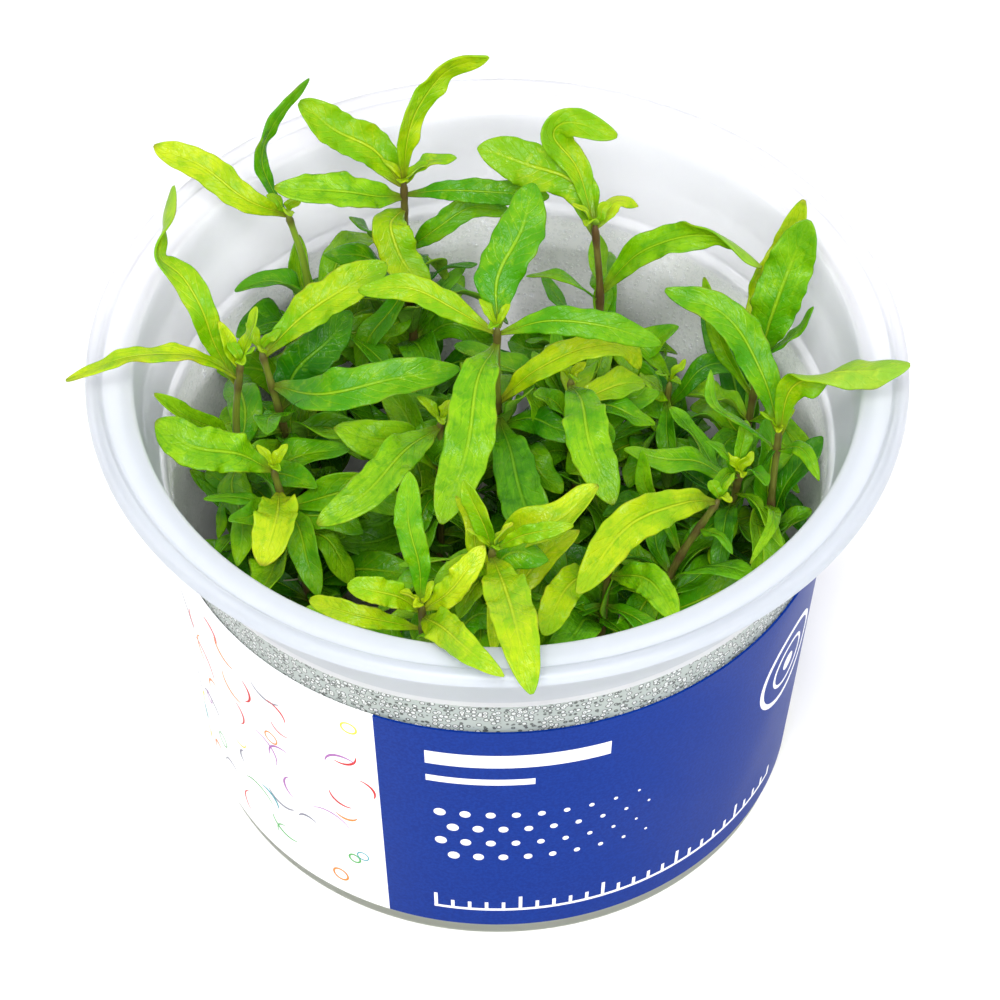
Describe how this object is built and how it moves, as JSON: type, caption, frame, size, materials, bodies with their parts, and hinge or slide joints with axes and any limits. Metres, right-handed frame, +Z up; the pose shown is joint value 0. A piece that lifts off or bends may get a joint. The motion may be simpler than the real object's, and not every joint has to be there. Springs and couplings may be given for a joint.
{
  "type": "tissue culture aquarium plant in tub",
  "caption": "Bushy tissue culture aquarium plant with long narrow leaves, rooted in clear jelly in an open, flanged, labelled clear tub.",
  "frame": {"origin": "centre of the flat base of the tub, on the surface that it stands on", "axes": "+Z up through the open mouth of the tub, -Y towards the front of the label where its white part meets its blue part, +X to the right as seen from the front"},
  "size_m": [0.1021, 0.1036, 0.0871],
  "materials": {
    "tub_plastic": "translucent milky clear, satin",
    "label_print": "royal blue and white print, satin",
    "jelly": "clear, faintly beige, wet",
    "stem": "olive green plant stem, satin",
    "leaf_bright": "yellow-green living leaf, satin",
    "leaf_green": "mid green living leaf, satin",
    "leaf_deep": "deep green living leaf, satin"
  },
  "bodies": {
    "root": {"tub": "tub_plastic", "label": "label_print", "jelly": "jelly", "left_shoot_stem": "stem", "left_shoot_leaf_1": "leaf_bright", "left_shoot_leaf_2": "leaf_bright", "back_left_shoot_stem": "stem", "back_left_shoot_leaf_1": "leaf_bright", "back_left_shoot_leaf_2": "leaf_green", "back_shoot_stem": "stem", "back_shoot_leaf_1": "leaf_bright", "back_shoot_leaf_2": "leaf_green", "back_shoot_leaf_3": "leaf_bright", "back_shoot_leaf_4": "leaf_bright", "back_shoot_leaf_5": "leaf_green", "back_shoot_leaf_6": "leaf_green", "back_right_shoot_stem": "stem", "back_right_shoot_leaf_1": "leaf_bright", "back_right_shoot_leaf_2": "leaf_bright", "back_right_shoot_leaf_3": "leaf_green", "centre_shoot_stem": "stem", "centre_shoot_leaf_1": "leaf_green", "centre_shoot_leaf_2": "leaf_bright", "centre_shoot_leaf_3": "leaf_green", "centre_shoot_leaf_4": "leaf_green", "centre_shoot_leaf_5": "leaf_bright", "centre_shoot_leaf_6": "leaf_deep", "centre_right_shoot_stem": "stem", "centre_right_shoot_leaf_1": "leaf_green", "right_back_shoot_stem": "stem", "right_back_shoot_leaf_1": "leaf_bright", "right_back_shoot_leaf_2": "leaf_green", "right_shoot_stem": "stem", "right_shoot_leaf_1": "leaf_bright", "right_shoot_leaf_2": "leaf_green", "right_inner_shoot_stem": "stem", "right_front_shoot_stem": "stem", "right_front_shoot_leaf_1": "leaf_bright", "front_right_shoot_stem": "stem", "front_right_shoot_leaf_1": "leaf_bright", "front_right_shoot_leaf_2": "leaf_green", "front_shoot_stem": "stem", "front_shoot_leaf_1": "leaf_green", "front_shoot_leaf_2": "leaf_bright", "front_shoot_leaf_3": "leaf_bright", "front_shoot_leaf_4": "leaf_bright", "front_shoot_leaf_5": "leaf_bright", "front_centre_shoot_stem": "stem", "front_centre_shoot_leaf_1": "leaf_bright", "front_centre_shoot_leaf_2": "leaf_bright", "left_front_shoot_stem": "stem", "left_front_shoot_leaf_1": "leaf_green", "left_front_shoot_leaf_2": "leaf_bright", "centre_left_shoot_stem": "stem", "centre_left_shoot_leaf_1": "leaf_green", "inner_back_shoot_stem": "stem", "left_back_shoot_stem": "stem", "left_back_shoot_leaf_1": "leaf_bright", "left_back_shoot_leaf_2": "leaf_deep", "left_back_shoot_leaf_3": "leaf_green"}
  },
  "joints": []
}
